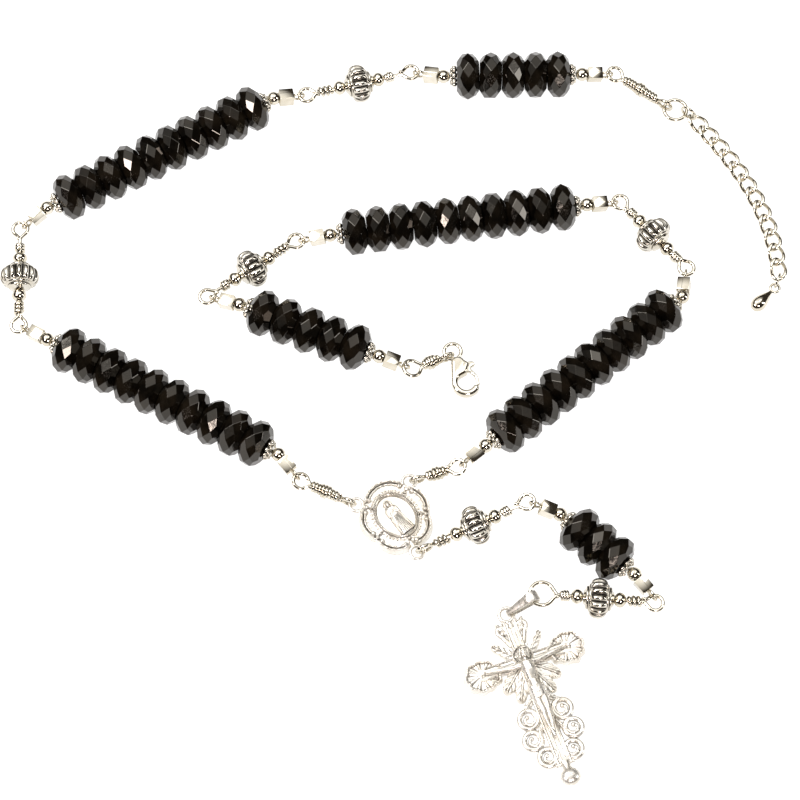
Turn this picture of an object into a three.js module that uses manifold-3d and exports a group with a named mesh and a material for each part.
// A rosary necklace: five decades of faceted glass beads on wires, joined by
// wire-wrapped links, with an oval centre medal, a pendant with a crucifix,
// a lobster clasp and a curb extension chain. Millimetres, +Z up.
import * as THREE from 'three';
import { mergeVertices } from 'three/addons/utils/BufferGeometryUtils.js';
import { ConvexGeometry } from 'three/addons/geometries/ConvexGeometry.js';
import Module from 'manifold-3d';

const wasm = await Module();
wasm.setup();

// ---- driving dimensions ----
const BEAD_RADIUS = 5;
const BEAD_SIDES = 8;
const FLUTED_RADIUS = 4.2;
const WRAP_WIRE = 0.4;
const CORE_WIRE = 0.25;
const LINK_LOOP = 1.55;
const BEAD_LOOP = 1.15;
const MEDAL_LOOP = 1.35;
const BORE = 0.6;
const SIDES = 8;
const RING_SIDES = 4;
const RING_STEPS = 12;
const CORE_SIDES = 5;

// heights of the wires above the table
const BEAD_AXIS = BEAD_RADIUS;
const LINK_AXIS = FLUTED_RADIUS;
const MEDAL_AXIS = 1.4;
const CHAIN_AXIS = 1.45;
const RING_AXIS = 1.5;

// end fittings of a bead string, from the last bead outwards
const DAISY_RADIUS = 2.3;
const DAISY_LONG = 1.3;
const BALL_RADIUS = 1.45;
const CRIMP_WIDE = 2.6;
const CRIMP_LONG = 3.1;
const BALL_AT = DAISY_LONG + BALL_RADIUS;
const CRIMP_AT = BALL_RADIUS - 0.3;
const LOOP_AT = CRIMP_AT + CRIMP_LONG + BEAD_LOOP;

// a flat ring and an upright ring hang in one another with their centres this far apart
const LINK_REACH = 1.75;
const MEDAL_REACH = 1.6;

// large beads between decades
const FLUTES = 10;
const FLUTED_LONG = 3.4;
const COLLAR_RADIUS = 2.8;
const COLLAR_LONG = 1.4;
const SMALL_BALL = 1.3;
const BALL_SUNK = 0.3;
const STACK_HALF = FLUTED_LONG / 2 + COLLAR_LONG + 2 * SMALL_BALL - BALL_SUNK;

// curb chain
const CURB_PITCH = 3.5;
const CURB_HALF_LONG = 2.3;
const CURB_HALF_WIDE = 1.45;
const CURB_TWIST = 0.65;
const CURB_WIRE = 0.38;
const CURB_LINKS = 12;
const CURB_START = -50;
const CURB_BEND = 38;

// rings, clasp and crucifix
const JUMP_RING = 2.4;
const RING_WIRE = 0.4;
const PENDANT_RING = 2.4;
const CRUCIFIX_RING = 1.45;
const CRUCIFIX_RING_AXIS = 1.1;
const BAIL_LONG = 4.6;
const BAIL_WIDE = 1.3;
const CROSS_THICK = 1.5;

const SILVER = { color: 0xe9e4da, roughness: 0.22, metalness: 1 };
const OXIDISED = { color: 0xb9b2a6, roughness: 0.35, metalness: 1 };
const GLASS = { color: 0x16120f, roughness: 0.08, metalness: 0.1 };

// ---- solids ----
function toManifold(geometry) {
  const bare = geometry.clone();
  bare.deleteAttribute('normal');
  bare.deleteAttribute('uv');
  const merged = mergeVertices(bare, 1e-4);
  return new wasm.Manifold(new wasm.Mesh({
    numProp: 3,
    vertProperties: new Float32Array(merged.attributes.position.array),
    triVerts: new Uint32Array(merged.index.array),
  }));
}

function toGeometry(manifold) {
  const mesh = manifold.getMesh();
  const geometry = new THREE.BufferGeometry();
  geometry.setAttribute('position', new THREE.BufferAttribute(mesh.vertProperties, 3));
  geometry.setIndex(new THREE.BufferAttribute(mesh.triVerts, 1));
  return geometry;
}

function join(...geometries) {
  return toGeometry(geometries.map(toManifold).reduce((sum, next) => sum.add(next)));
}

function cut(geometry, ...tools) {
  const whole = toManifold(geometry);
  return toGeometry(tools.map(toManifold).reduce((rest, tool) => rest.subtract(tool), whole));
}

// moves a shape: roll about x, then tilt about y, then turn about z, in degrees
function posed(geometry, { x = 0, y = 0, z = 0, turn = 0, tilt = 0, roll = 0 }) {
  const angles = [roll, tilt, turn].map(THREE.MathUtils.degToRad);
  const rotation = new THREE.Matrix4().makeRotationFromEuler(new THREE.Euler(...angles, 'ZYX'));
  return geometry.clone().applyMatrix4(rotation.setPosition(x, y, z));
}

// a solid of revolution about the x axis, from [x, radius] pairs in order of x
function turned(profile, sides = SIDES) {
  const points = profile.map(([x, radius]) => new THREE.Vector2(radius, x));
  return new THREE.LatheGeometry(points, sides).rotateZ(-Math.PI / 2);
}

function rod(from, to, radius, sides = SIDES) {
  return turned([[from, 0], [from, radius], [to, radius], [to, 0]], sides);
}

function ball(x, radius, sides = SIDES) {
  const rows = 4;
  const profile = [];
  for (let i = 0; i <= rows; i += 1) {
    const angle = Math.PI * i / rows;
    profile.push([x - radius * Math.cos(angle), i % rows ? radius * Math.sin(angle) : 0]);
  }
  return turned(profile, sides);
}

function flatRing(x, radius, wire, steps = RING_STEPS) {
  return new THREE.TorusGeometry(radius, wire, RING_SIDES, steps).translate(x, 0, 0);
}

function uprightRing(x, radius, wire, steps = RING_STEPS) {
  return flatRing(0, radius, wire, steps).rotateX(Math.PI / 2).translate(x, 0, 0);
}

// turns of wire wound side by side round a straight core, as one ribbed solid
function wraps(from, turns, wire, core) {
  const valley = core + 0.3 * wire;
  const profile = [[from, 0], [from, valley]];
  for (let i = 0; i < turns; i += 1) {
    const low = from + 2 * wire * i;
    profile.push([low + wire, core + wire], [low + 2 * wire, valley]);
  }
  profile.push([from + 2 * wire * turns, 0]);
  return turned(profile, CORE_SIDES + 1);
}

// draws every second line of a revolved shape inwards, so that it shows ribs
function fluted(profile, ribs, depth) {
  const geometry = turned(profile, ribs * 2);
  const position = geometry.attributes.position;
  for (let i = 0; i < position.count; i += 1) {
    const y = position.getY(i);
    const z = position.getZ(i);
    const shrink = 1 - depth * (0.5 - 0.5 * Math.cos(Math.atan2(z, y) * ribs));
    position.setY(i, y * shrink);
    position.setZ(i, z * shrink);
  }
  return geometry;
}

// ---- sub-parts, each running along +x ----

// one glass bead: flat hubs and two staggered rows of kite facets each side of its girdle
function kiteBead(middle, half) {
  const rows = [[half, 0.46, 0], [0.52 * half, 0.88, 0.5], [0, 1, 0]];
  const points = [];
  for (const [offset, share, phase] of rows) {
    for (let i = 0; i < BEAD_SIDES; i += 1) {
      const angle = 2 * Math.PI * (i + phase) / BEAD_SIDES;
      const y = share * BEAD_RADIUS * Math.cos(angle);
      const z = share * BEAD_RADIUS * Math.sin(angle);
      points.push(new THREE.Vector3(middle + offset, y, z));
      if (offset) points.push(new THREE.Vector3(middle - offset, y, z));
    }
  }
  return new ConvexGeometry(points);
}

function beadRow(count, pitch) {
  const overlap = 0.01;
  const beads = [];
  for (let i = 0; i < count; i += 1) beads.push(kiteBead((i + 0.5) * pitch, pitch / 2 + overlap));
  return cut(join(...beads), rod(-1, count * pitch + 1, BORE, CORE_SIDES));
}

// daisy spacer and round bead beyond the end of a bead row, on its wire
function daisyAndBall() {
  const daisy = fluted([
    [0.06, 0], [0.06, 1.5], [0.65, DAISY_RADIUS], [DAISY_LONG, 1.5], [DAISY_LONG, 0],
  ], 6, 0.16);
  return [daisy, ball(BALL_AT, BALL_RADIUS)];
}

// square crimp and upright end ring beyond the round bead
function crimpAndRing() {
  const crimp = new THREE.BoxGeometry(CRIMP_LONG, CRIMP_WIDE, CRIMP_WIDE);
  return [
    crimp.translate(CRIMP_AT + CRIMP_LONG / 2, 0, 0),
    rod(CRIMP_AT + CRIMP_LONG - 0.5, LOOP_AT - BEAD_LOOP + 0.15, 0.4, CORE_SIDES),
    uprightRing(LOOP_AT, BEAD_LOOP, CORE_WIRE),
  ];
}

// the silver of one bead string: core wire, spacers, round beads, crimps and end rings
function stringWire(long, start, end) {
  const front = crimpAndRing().map((shape) => posed(shape, { x: -BALL_AT, ...start }));
  const back = crimpAndRing().map((shape) => posed(shape, { x: long + BALL_AT, ...end }));
  return join(
    rod(-BALL_AT, long + BALL_AT, CORE_WIRE, CORE_SIDES),
    ...daisyAndBall().map((shape) => posed(shape, { turn: 180 })),
    ...daisyAndBall().map((shape) => posed(shape, { x: long })),
    ...front,
    ...back,
  );
}

// wire of a large-bead link: a ring at each end, turns wound beside it, and a core between
function linkWire(long, firstRing, lastRing, lastRadius) {
  const turns = 3;
  const wound = 2 * WRAP_WIRE * turns;
  const first = long / 2 - STACK_HALF - 0.1 - wound;
  const last = long / 2 + STACK_HALF + 0.1;
  return join(
    rod(first + 0.3, last + 0.3, CORE_WIRE, CORE_SIDES),
    rod(LINK_LOOP - 0.1, first + 0.3, WRAP_WIRE, CORE_SIDES),
    rod(last + wound - 0.3, long - lastRadius + 0.1, WRAP_WIRE, CORE_SIDES),
    wraps(first, turns, WRAP_WIRE, 2 * WRAP_WIRE),
    wraps(last, turns, WRAP_WIRE, 2 * WRAP_WIRE),
    firstRing(0, LINK_LOOP, WRAP_WIRE),
    lastRing(long, lastRadius, WRAP_WIRE),
  );
}

// round bead, collar, fluted bead, collar and round bead, threaded on the link's wire
function linkBeads(middle) {
  const half = FLUTED_LONG / 2;
  const collar = [
    [half - 0.3, 0], [half - 0.3, COLLAR_RADIUS], [half + 0.7, COLLAR_RADIUS],
    [half + COLLAR_LONG, 1.6], [half + COLLAR_LONG, 0],
  ];
  const pumpkin = [
    [-half, 0], [-half, 3], [-half * 0.4, FLUTED_RADIUS],
    [half * 0.4, FLUTED_RADIUS], [half, 3], [half, 0],
  ];
  const ballAt = half + COLLAR_LONG + SMALL_BALL - BALL_SUNK;
  const beads = join(
    fluted(pumpkin, FLUTES, 0.09),
    turned(collar),
    posed(turned(collar), { turn: 180 }),
    ball(ballAt, SMALL_BALL),
    ball(-ballAt, SMALL_BALL),
  );
  return cut(beads, rod(-9, 9, CORE_WIRE + 0.15, CORE_SIDES + 1)).translate(middle, 0, 0);
}

// a short connector: an upright ring, wound turns, and a flat ring, or the other way round
function connectorWire(long, firstRing, firstRadius, lastRing, lastRadius) {
  const from = firstRadius + WRAP_WIRE - 0.1;
  const room = long - lastRadius - WRAP_WIRE + 0.1 - from;
  const turns = Math.max(2, Math.floor(room / (2 * WRAP_WIRE)));
  const start = from + (room - 2 * WRAP_WIRE * turns) / 2;
  return join(
    rod(firstRadius - 0.1, long - lastRadius + 0.1, WRAP_WIRE, CORE_SIDES),
    wraps(start, turns, WRAP_WIRE, 2 * WRAP_WIRE),
    firstRing(0, firstRadius, WRAP_WIRE),
    lastRing(long, lastRadius, WRAP_WIRE),
  );
}

// one link of curb chain: an oval ring twisted so that it lies nearly flat among its neighbours
function curbLink() {
  class TwistedOval extends THREE.Curve {
    getPoint(t, target = new THREE.Vector3()) {
      const angle = 2 * Math.PI * t;
      return target.set(
        CURB_HALF_LONG * Math.cos(angle),
        CURB_HALF_WIDE * Math.sin(angle),
        CURB_TWIST * Math.sin(2 * angle),
      );
    }
  }
  return closedTube(new TwistedOval(), CURB_WIRE, 16);
}

// a wire bent into a closed curve
function closedTube(curve, radius, steps) {
  const frames = curve.computeFrenetFrames(steps, true);
  const position = [];
  const index = [];
  for (let i = 0; i < steps; i += 1) {
    const centre = curve.getPointAt(i / steps);
    for (let k = 0; k < RING_SIDES; k += 1) {
      const angle = 2 * Math.PI * k / RING_SIDES;
      const point = centre.clone()
        .addScaledVector(frames.normals[i], radius * Math.cos(angle))
        .addScaledVector(frames.binormals[i], radius * Math.sin(angle));
      position.push(...point.toArray());
      const next = ((i + 1) % steps) * RING_SIDES;
      const here = i * RING_SIDES;
      const beside = (k + 1) % RING_SIDES;
      index.push(here + k, here + beside, next + k, next + k, here + beside, next + beside);
    }
  }
  const geometry = new THREE.BufferGeometry();
  geometry.setAttribute('position', new THREE.Float32BufferAttribute(position, 3));
  geometry.setIndex(index);
  return geometry;
}

// the outline round two circles, the first at the origin and the second further along +x
function taperedOutline(path, firstRadius, lastRadius, long) {
  const lean = Math.acos((firstRadius - lastRadius) / long);
  path.absarc(0, 0, firstRadius, lean, 2 * Math.PI - lean, false);
  path.absarc(long, 0, lastRadius, -lean, lean, false);
  path.closePath();
  return path;
}

function plate(shape, thick, curveSegments = 10) {
  return new THREE.ExtrudeGeometry(shape, { depth: thick, bevelEnabled: false, curveSegments });
}

// a folded strap that closes round the pendant ring and narrows to the crucifix ring
function bail() {
  const outline = taperedOutline(new THREE.Shape(), 1.75, 1.35, BAIL_LONG);
  outline.holes.push(taperedOutline(new THREE.Path(), 1.3, 0.9, BAIL_LONG));
  return plate(outline, BAIL_WIDE, 6).translate(0, 0, -BAIL_WIDE / 2).rotateX(Math.PI / 2);
}

// a teardrop weight that lies on the table, with its flat eye at the origin
function charm() {
  const drop = turned([
    [1.1, 0], [1.1, 0.35], [2.2, 0.75], [3.6, 1.25], [4.8, 1.5], [5.9, 1.3], [6.6, 0.75], [6.8, 0],
  ]);
  return join(drop, flatRing(0, 0.95, 0.3));
}

// ---- centre medal: a domed oval plate in a scalloped frame, with three rings ----
const MEDAL_RADIUS_X = 6.5;
const MEDAL_RADIUS_Y = 7;
const MEDAL_SCALLOPS = 12;
const MEDAL_THICK = 1.7;

function medalEdge(angle, share) {
  const lobe = 1 + 0.1 * Math.abs(Math.cos(MEDAL_SCALLOPS * angle / 2));
  return new THREE.Vector2(
    share * lobe * MEDAL_RADIUS_X * Math.cos(angle),
    share * lobe * MEDAL_RADIUS_Y * Math.sin(angle),
  );
}

function centreMedal(rings) {
  const edge = [];
  const steps = MEDAL_SCALLOPS * 4;
  for (let i = 0; i < steps; i += 1) edge.push(medalEdge(2 * Math.PI * i / steps, 1));
  const oval = new THREE.Shape().absellipse(0, 0, 4.2, 5.2, 0, 2 * Math.PI);
  const field = new THREE.Shape().absellipse(0, 0, 3.7, 4.7, 0, 2 * Math.PI);
  const rimmed = cut(
    plate(oval, MEDAL_THICK + 0.5, 18),
    plate(field, 2, 18).translate(0, 0, MEDAL_THICK),
  );
  const loops = rings.map(({ x, y }) => flatRing(x, MEDAL_LOOP, 0.35).translate(0, y, MEDAL_AXIS));
  return join(plate(new THREE.Shape(edge), MEDAL_THICK), rimmed, robedFigure(), ...loops);
}

// low relief of a standing robed figure with both hands lowered
function robedFigure() {
  const robe = new THREE.SphereGeometry(1, 12, 8).scale(1.5, 2.7, 0.6);
  const head = new THREE.SphereGeometry(0.62, 10, 8).scale(1, 1.2, 0.8);
  return join(
    robe.translate(0, -0.9, MEDAL_THICK),
    head.translate(0, 2.2, MEDAL_THICK),
  );
}

// ---- crucifix: a flared cross among leaves and scrolls, with a figure on it ----
const SHAFT_LONG = 22;
const ARM_LONG = 9.2;
const TOP_LONG = 7.2;
const RING_ABOVE = 10.2;

function bar(fromX, fromY, toX, toY, startWide, endWide) {
  const along = new THREE.Vector2(toX - fromX, toY - fromY);
  const side = new THREE.Vector2(-along.y, along.x).normalize();
  return new THREE.Shape([
    new THREE.Vector2(fromX, fromY).addScaledVector(side, startWide / 2),
    new THREE.Vector2(fromX, fromY).addScaledVector(side, -startWide / 2),
    new THREE.Vector2(toX, toY).addScaledVector(side, -endWide / 2),
    new THREE.Vector2(toX, toY).addScaledVector(side, endWide / 2),
  ]);
}

function scroll(x, y, radius, wide) {
  return flatRing(0, radius - wide / 2, wide / 2).translate(x, y, CROSS_THICK / 2);
}

// a leaf outline from its stalk to its tip
function leaf(x, y, long, wide, heading) {
  const shape = new THREE.Shape();
  shape.moveTo(0, -0.3);
  shape.quadraticCurveTo(long * 0.35, -wide, long, 0);
  shape.quadraticCurveTo(long * 0.35, wide, 0, 0.3);
  shape.closePath();
  return posed(plate(shape, CROSS_THICK - 0.3, 3), { x, y, turn: heading });
}

function crossPlate() {
  const pieces = [
    plate(bar(0, TOP_LONG, 0, -SHAFT_LONG * 0.82, 2.6, 3.2), CROSS_THICK),
    plate(bar(-ARM_LONG, 0, ARM_LONG, 0, 2.6, 2.6), CROSS_THICK),
    new THREE.TorusGeometry(2.6, 0.4, RING_SIDES, 16).translate(0, 1.2, CROSS_THICK / 2),
    flatRing(0, CRUCIFIX_RING, RING_WIRE).translate(0, RING_ABOVE, CRUCIFIX_RING_AXIS),
    plate(bar(0, TOP_LONG - 0.5, 0, RING_ABOVE - 1.2, 1.6, 1), 1.3),
    ball(0, 1.55, 10).rotateZ(Math.PI / 2).scale(1.25, 1, 0.85).translate(0, -SHAFT_LONG - 2.9, 1.35),
    plate(bar(0, -SHAFT_LONG * 0.7, 0, -SHAFT_LONG - 2, 2, 1.6), CROSS_THICK),
  ];
  for (const side of [-1, 1]) {
    pieces.push(leaf(side * (ARM_LONG - 2.8), 0, 6, 3.2, side > 0 ? 0 : 180));
    pieces.push(leaf(side * (ARM_LONG - 2.6), 0.6, 4.6, 2.2, side > 0 ? 48 : 132));
    pieces.push(leaf(side * (ARM_LONG - 2.6), -0.6, 4.6, 2.2, side > 0 ? -48 : 228));
    pieces.push(leaf(side * 1.2, 1.2, 4.6, 1.1, side > 0 ? 45 : 135));
    pieces.push(leaf(side * 1.2, -1.2, 4.6, 1.1, side > 0 ? -45 : 225));
    pieces.push(leaf(side * 0.6, TOP_LONG - 1.4, 3.4, 1.4, side > 0 ? 62 : 118));
    pieces.push(scroll(side * 2.1, TOP_LONG + 0.7, 1.5, 0.8));
    pieces.push(scroll(side * 3.5, -11.4, 2.4, 0.9));
    pieces.push(scroll(side * 4.2, -15.7, 2.3, 0.9));
    pieces.push(scroll(side * 2.6, -19.8, 2.3, 0.9));
    pieces.push(leaf(side * 1.2, -2.4, 6.2, 1.6, side > 0 ? -55 : 235));
  }
  return join(...pieces);
}

// the figure on the cross: arms raised a little, knees together, cloth round the waist
function corpus() {
  const limb = (from, to, startRadius, endRadius) => {
    const along = new THREE.Vector3().subVectors(to, from);
    const shape = new THREE.CylinderGeometry(endRadius, startRadius, along.length(), 6);
    shape.translate(0, along.length() / 2, 0);
    const spin = new THREE.Quaternion().setFromUnitVectors(new THREE.Vector3(0, 1, 0), along.normalize());
    return shape.applyQuaternion(spin).translate(from.x, from.y, from.z);
  };
  const at = (x, y, z) => new THREE.Vector3(x, y, z);
  const lift = 0.75;
  const pieces = [
    new THREE.SphereGeometry(0.95, 8, 6).scale(0.85, 1.1, 0.9).translate(0.25, 1.5, lift + 0.5),
    limb(at(0.1, 0.9, lift), at(0, -0.2, lift), 0.4, 0.5),
    new THREE.SphereGeometry(1, 8, 6).scale(1.5, 3, 0.8).translate(0, -2.6, lift),
    new THREE.SphereGeometry(1, 8, 6).scale(1.4, 1.8, 0.85).translate(0, -6.4, lift),
    limb(at(0.5, -6.8, lift), at(0.6, -10.8, lift + 0.3), 0.75, 0.55),
    limb(at(-0.5, -6.8, lift), at(-0.2, -10.8, lift + 0.3), 0.75, 0.55),
    limb(at(0.6, -10.6, lift + 0.3), at(0.25, -14.6, lift), 0.55, 0.4),
    limb(at(-0.2, -10.6, lift + 0.3), at(-0.15, -14.6, lift), 0.55, 0.4),
    limb(at(0.05, -14.2, lift), at(0.05, -16.2, lift - 0.1), 0.6, 0.45),
  ];
  for (const side of [-1, 1]) {
    pieces.push(limb(at(side * 1, -0.9, lift), at(side * 4.4, -0.5, lift), 0.55, 0.42));
    pieces.push(limb(at(side * 4.3, -0.5, lift), at(side * 8.2, 0.1, lift), 0.42, 0.32));
    pieces.push(new THREE.SphereGeometry(0.5, 6, 4).translate(side * 8.5, 0.1, lift));
  }
  const behind = new THREE.BoxGeometry(40, 40, 10).translate(0, 0, -5 + 0.02);
  return cut(join(...pieces), behind).translate(0, 0, CROSS_THICK + 0.5);
}

// ---- lobster clasp, lying on its side: ring at the origin, claw along +x ----
const CLASP_RING = 1.75;
const CLASP_THICK = 2.6;
const CLASP_EYE = 7.6;
const EYE_RADIUS = 1.75;
const CLASP_HEEL = 3.2;
const CLASP_HEEL_RADIUS = 1.7;
const LEVER_THICK = 1.1;
const PIVOT_X = 4.1;
const PIVOT_Y = 1;
const PIN_RADIUS = 0.32;
const CLASP_ROUND = 3;

function leverOutline() {
  const shape = new THREE.Shape();
  shape.moveTo(PIVOT_X - 0.8, PIVOT_Y - 0.5);
  shape.lineTo(PIVOT_X + 1, PIVOT_Y - 0.5);
  shape.quadraticCurveTo(CLASP_EYE - 1, CLASP_ROUND - 1.2, CLASP_EYE + 1.2, CLASP_ROUND - 1);
  shape.lineTo(CLASP_EYE + 1.2, CLASP_ROUND - 0.3);
  shape.quadraticCurveTo(CLASP_EYE - 1.2, CLASP_ROUND - 0.3, PIVOT_X + 0.8, PIVOT_Y + 0.7);
  shape.lineTo(PIVOT_X + 0.5, PIVOT_Y + 2);
  shape.lineTo(PIVOT_X - 0.4, PIVOT_Y + 2);
  shape.closePath();
  return shape;
}

function pin(radius, thick) {
  const round = new THREE.CylinderGeometry(radius, radius, thick, 10).rotateX(Math.PI / 2);
  return round.translate(PIVOT_X, PIVOT_Y, 0);
}

function claspBody() {
  const outer = taperedOutline(new THREE.Shape(), CLASP_HEEL_RADIUS, CLASP_ROUND, CLASP_EYE - CLASP_HEEL);
  const claw = plate(outer, CLASP_THICK, 9).translate(CLASP_HEEL, 0, -CLASP_THICK / 2);
  const eye = new THREE.CylinderGeometry(EYE_RADIUS, EYE_RADIUS, 6, 14).rotateX(Math.PI / 2);
  const slotDepth = LEVER_THICK + 0.24;
  const slot = new THREE.BoxGeometry(5, 4, slotDepth).translate(PIVOT_X + 0.7, PIVOT_Y + 0.6, 0);
  const mouth = new THREE.BoxGeometry(3.6, 4, 6).translate(CLASP_EYE - 0.2, 2.6, 0);
  const collar = rod(CLASP_RING - 0.1, CLASP_EYE - 5, 0.9, 10);
  return join(
    cut(claw, eye.translate(CLASP_EYE, 0, 0), slot, mouth, pin(PIN_RADIUS + 0.03, 6)),
    collar,
    flatRing(0, CLASP_RING, 0.42),
  );
}

function claspLever() {
  const lever = plate(leverOutline(), LEVER_THICK, 6).translate(0, 0, -LEVER_THICK / 2);
  return cut(lever, pin(PIN_RADIUS + 0.08, 3));
}

// ---- assembly ----
const rosary = new THREE.Group();

function mesh(name, geometry, finish) {
  const made = new THREE.Mesh(geometry, new THREE.MeshStandardMaterial(finish));
  made.name = name;
  return made;
}

function step(point, heading, run, rise = 0) {
  const angle = THREE.MathUtils.degToRad(heading);
  return point.clone().add(new THREE.Vector3(run * Math.cos(angle), run * Math.sin(angle), rise));
}

// a moving body is a group whose origin is its hinge point; it hangs from the body before it
function body(parent, name, point, heading, meshes, slope = 0) {
  const group = new THREE.Group();
  group.name = name;
  group.rotation.set(0, THREE.MathUtils.degToRad(-slope), THREE.MathUtils.degToRad(heading), 'ZYX');
  group.position.copy(point);
  group.add(...meshes);
  rosary.add(group);
  rosary.updateMatrixWorld(true);
  parent.attach(group);
  return group;
}

// the run along the table and the slope of a straight length that climbs by rise
function sloped(long, rise) {
  const slope = THREE.MathUtils.radToDeg(Math.asin(rise / long));
  return { run: Math.sqrt(long ** 2 - rise ** 2), rise, slope };
}

// a string of beads between two upright rings; first, row and last are headings in degrees
function beadString(chain, name, { first, row, last, next = last, count, pitch }) {
  const ring = step(chain.point, first, LINK_REACH);
  const front = sloped(LOOP_AT, BEAD_AXIS - ring.z);
  const back = sloped(LOOP_AT, LINK_AXIS - BEAD_AXIS);
  const rowStart = step(step(ring, first, front.run, front.rise), row, BALL_AT);
  const rowEnd = step(rowStart, row, count * pitch);
  const endRing = step(step(rowEnd, row, BALL_AT), last, back.run, back.rise);
  const wire = stringWire(
    count * pitch,
    { turn: 180 + first - row, tilt: front.slope },
    { turn: last - row, tilt: -back.slope },
  );
  const beads = beadRow(count, pitch);
  const upward = new THREE.Vector3(0, 0, 1);
  const turnBack = THREE.MathUtils.degToRad(-first);
  const inside = new THREE.Matrix4().makeRotationZ(THREE.MathUtils.degToRad(row - first));
  inside.setPosition(rowStart.clone().sub(ring).applyAxisAngle(upward, turnBack));
  const group = body(chain.body, name, ring, first, [
    mesh(`${name}_wire`, wire.applyMatrix4(inside), SILVER),
    mesh(`${name}_beads`, beads.applyMatrix4(inside), GLASS),
  ]);
  return { body: group, point: step(endRing, next, LINK_REACH) };
}

// a large fluted bead on a wire-wrapped link, from a flat ring hung in the last upright one
function largeBeadLink(chain, name, options) {
  const { heading, long, rise = 0, firstRing = flatRing, lastRadius = LINK_LOOP } = options;
  const { run, slope } = sloped(long, rise);
  const group = body(chain.body, name, chain.point, heading, [
    mesh(`${name}_wire`, linkWire(long, firstRing, flatRing, lastRadius), SILVER),
    mesh(`${name}_beads`, linkBeads(long / 2), OXIDISED),
  ], slope);
  return { body: group, point: step(chain.point, heading, run, rise) };
}

// a wound wire connector between two rings, sloping where they lie at different heights
function connector(chain, name, { heading, long, rise, rings }) {
  const { run, slope } = sloped(long, rise);
  const [[firstRing, firstRadius], [lastRing, lastRadius]] = rings;
  const wire = connectorWire(long, firstRing, firstRadius, lastRing, lastRadius);
  const group = body(chain.body, name, chain.point, heading, [mesh(`${name}_wire`, wire, SILVER)], slope);
  return { body: group, point: step(chain.point, heading, run, rise) };
}

// a single piece that hangs from the body before it
function piece(chain, name, { heading, geometry, finish = SILVER, reach = 0, rise = 0 }) {
  const group = body(chain.body, name, chain.point, heading, [mesh(name, geometry, finish)]);
  return { body: group, point: step(chain.point, heading, reach, rise) };
}

function moved(chain, heading, run, height) {
  const point = step(chain.point, heading, run);
  point.z = height;
  return { body: chain.body, point };
}

function hungBail(chain, heading, rise) {
  const { run, slope } = sloped(BAIL_LONG, rise);
  const strap = mesh('pendant_bail', bail(), SILVER);
  const group = body(chain.body, 'bail', chain.point, heading, [strap], slope);
  return { body: group, point: step(chain.point, heading, run, rise) };
}

// turns a crucifix shape so that its ring is at the origin and its foot lies along +x
function fromRing(geometry) {
  return geometry.rotateZ(Math.PI / 2).translate(RING_ABOVE, 0, -CRUCIFIX_RING_AXIS);
}

// the medal lies flat with its top turned away, two rings above and one below
const MEDAL_UP = 120;
const MEDAL_RINGS = {
  left: { heading: MEDAL_UP + 44, from: 8.3 },
  right: { heading: MEDAL_UP - 50, from: 7.8 },
  lower: { heading: MEDAL_UP + 178, from: 8.9 },
};

const MEDAL_TURN = MEDAL_UP - 90;
const medal = new THREE.Group();
medal.name = 'medal';
medal.rotation.z = THREE.MathUtils.degToRad(MEDAL_TURN);
const ringPlaces = Object.values(MEDAL_RINGS).map(({ heading, from }) => (
  step(new THREE.Vector3(), heading - MEDAL_TURN, from)));
medal.add(mesh('centre_medal', centreMedal(ringPlaces), SILVER));
rosary.add(medal);

function fromMedal({ heading, from }, next, height) {
  const ring = step(new THREE.Vector3(0, 0, height), heading, from);
  return { body: medal, point: step(ring, next, MEDAL_REACH) };
}

const WIRE_CONNECTOR = [[uprightRing, 1.3], [flatRing, LINK_LOOP]];
const CONNECTOR_START = 1.7;
const MEDAL_RISE = LINK_AXIS - CONNECTOR_START;
const PENDANT_START = 1.95;

// left side, from the medal round to the extension chain
let chain = fromMedal(MEDAL_RINGS.left, 160, CONNECTOR_START);
chain = connector(chain, 'left_connector', {
  heading: 160, long: 10.5, rise: MEDAL_RISE, rings: WIRE_CONNECTOR,
});
chain = beadString(chain, 'decade_2', { first: 130, row: 152, last: 150, count: 10, pitch: 4.85 });
chain = largeBeadLink(chain, 'large_link_2', { heading: 92, long: 22 });
chain = beadString(chain, 'decade_1', { first: 40, row: 29, last: 10, count: 10, pitch: 4.8 });
chain = largeBeadLink(chain, 'large_link_1', { heading: 14, long: 22.8 });
chain = beadString(chain, 'half_decade_1', { first: -12, row: 1, last: 4, count: 5, pitch: 4.8 });

chain = connector(chain, 'chain_connector', {
  heading: -30, long: 12.5, rise: 1.8 - LINK_AXIS, rings: [[flatRing, LINK_LOOP], [uprightRing, 1.4]],
});
chain = moved(chain, -25, 2.4, RING_AXIS);
chain = piece(chain, 'jump_ring', { heading: -25, geometry: flatRing(0, JUMP_RING, RING_WIRE) });
chain = moved(chain, -22, 3, 2.1);
chain = piece(chain, 'chain_start_ring', { heading: -36, geometry: uprightRing(0, 1.7, CURB_WIRE) });
chain = moved(chain, -38, 1, CHAIN_AXIS);
for (let i = 1; i <= CURB_LINKS; i += 1) {
  const heading = CURB_START - CURB_BEND * (i / CURB_LINKS) ** 1.6;
  const geometry = curbLink().translate(CURB_PITCH / 2, 0, 0);
  chain = piece(chain, `chain_link_${i}`, { heading, geometry, reach: CURB_PITCH });
}
chain = moved(chain, -112, 2.85 - CURB_PITCH / 2, 1.8);
chain = piece(chain, 'chain_end_ring', { heading: -112, geometry: uprightRing(0, 1.5, 0.3) });
chain = moved(chain, -112, 1.7, RING_AXIS);
piece(chain, 'chain_charm', { heading: -135, geometry: charm() });

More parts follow.
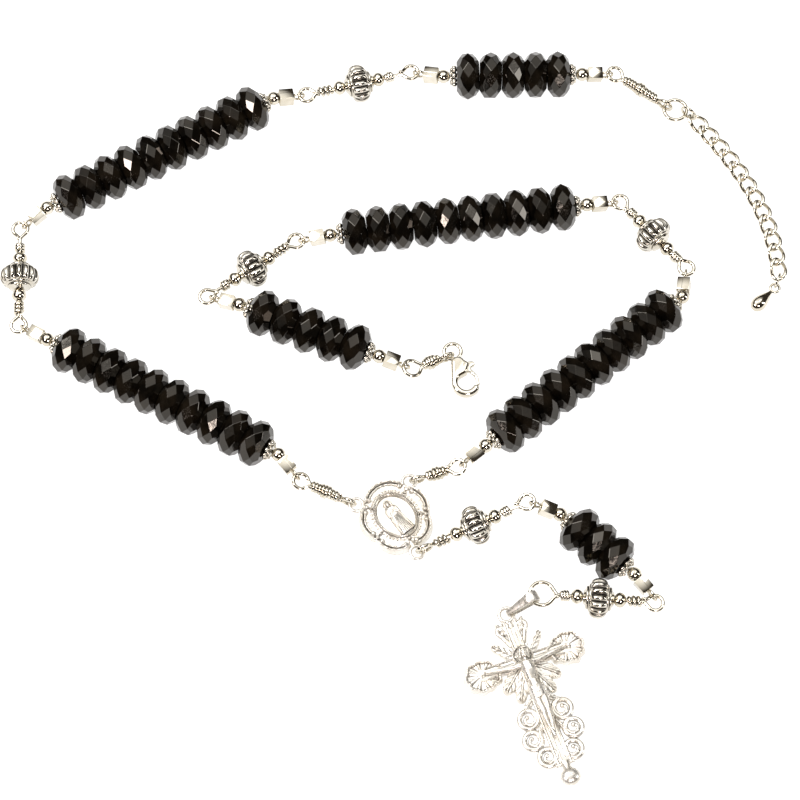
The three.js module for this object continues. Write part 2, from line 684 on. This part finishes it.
// right side, from the medal round to the clasp
const CLASP_HEADING = -69;
chain = fromMedal(MEDAL_RINGS.right, 12, CONNECTOR_START);
chain = connector(chain, 'right_connector', {
  heading: 12, long: 8.7, rise: MEDAL_RISE, rings: WIRE_CONNECTOR,
});
chain = beadString(chain, 'decade_3', { first: 37, row: 39, last: 80, count: 10, pitch: 4.7 });
chain = largeBeadLink(chain, 'large_link_3', { heading: 131, long: 20.2 });
chain = beadString(chain, 'decade_4', { first: -172, row: -172.5, last: -172, count: 10, pitch: 4.85 });
chain = largeBeadLink(chain, 'large_link_4', { heading: -145, long: 22.2 });
chain = beadString(chain, 'half_decade_2', { first: -18, row: -22, last: -19, count: 5, pitch: 5.1 });
chain = connector(chain, 'clasp_connector', {
  heading: 26, long: 8.4, rise: 1.75 - LINK_AXIS, rings: [[flatRing, 1.8], [uprightRing, 1.3]],
});
chain = moved(chain, 50.6, 1.79, RING_AXIS);
const clasp = body(chain.body, 'clasp', chain.point, CLASP_HEADING, [
  mesh('clasp_body', claspBody(), SILVER),
  mesh('clasp_pin', pin(PIN_RADIUS, CLASP_THICK - 0.1), SILVER),
]);
const pivot = clasp.localToWorld(new THREE.Vector3(PIVOT_X, PIVOT_Y, 0));
body(clasp, 'lever', pivot, CLASP_HEADING, [
  mesh('clasp_lever', claspLever().translate(-PIVOT_X, -PIVOT_Y, 0), SILVER),
]);

// pendant, from the medal down to the crucifix
const BAIL_HEADING = 206;
chain = fromMedal(MEDAL_RINGS.lower, 22, PENDANT_START);
chain = largeBeadLink(chain, 'large_link_5', {
  heading: 22, long: 22.5, rise: 2 * (LINK_AXIS - PENDANT_START), firstRing: uprightRing,
});
chain = beadString(chain, 'pendant_string', {
  first: -18, row: -41, last: -50, next: -72, count: 3, pitch: 4.55,
});
chain = largeBeadLink(chain, 'large_link_6', { heading: 175, long: 22.4, lastRadius: PENDANT_RING });
chain = moved(chain, BAIL_HEADING, PENDANT_RING + 0.1, 4);
chain = hungBail(chain, BAIL_HEADING, -2.55);
chain = moved(chain, BAIL_HEADING, CRUCIFIX_RING, CRUCIFIX_RING_AXIS);
body(chain.body, 'crucifix', chain.point, -70, [
  mesh('crucifix_cross', fromRing(crossPlate()), SILVER),
  mesh('crucifix_figure', fromRing(corpus()), SILVER),
]);

// the model stands on z = 0 with the middle of its box on the z axis
const bounds = new THREE.Box3().setFromObject(rosary, true);
const middle = bounds.getCenter(new THREE.Vector3());
rosary.position.set(-middle.x, -middle.y, -bounds.min.z);

export default rosary;
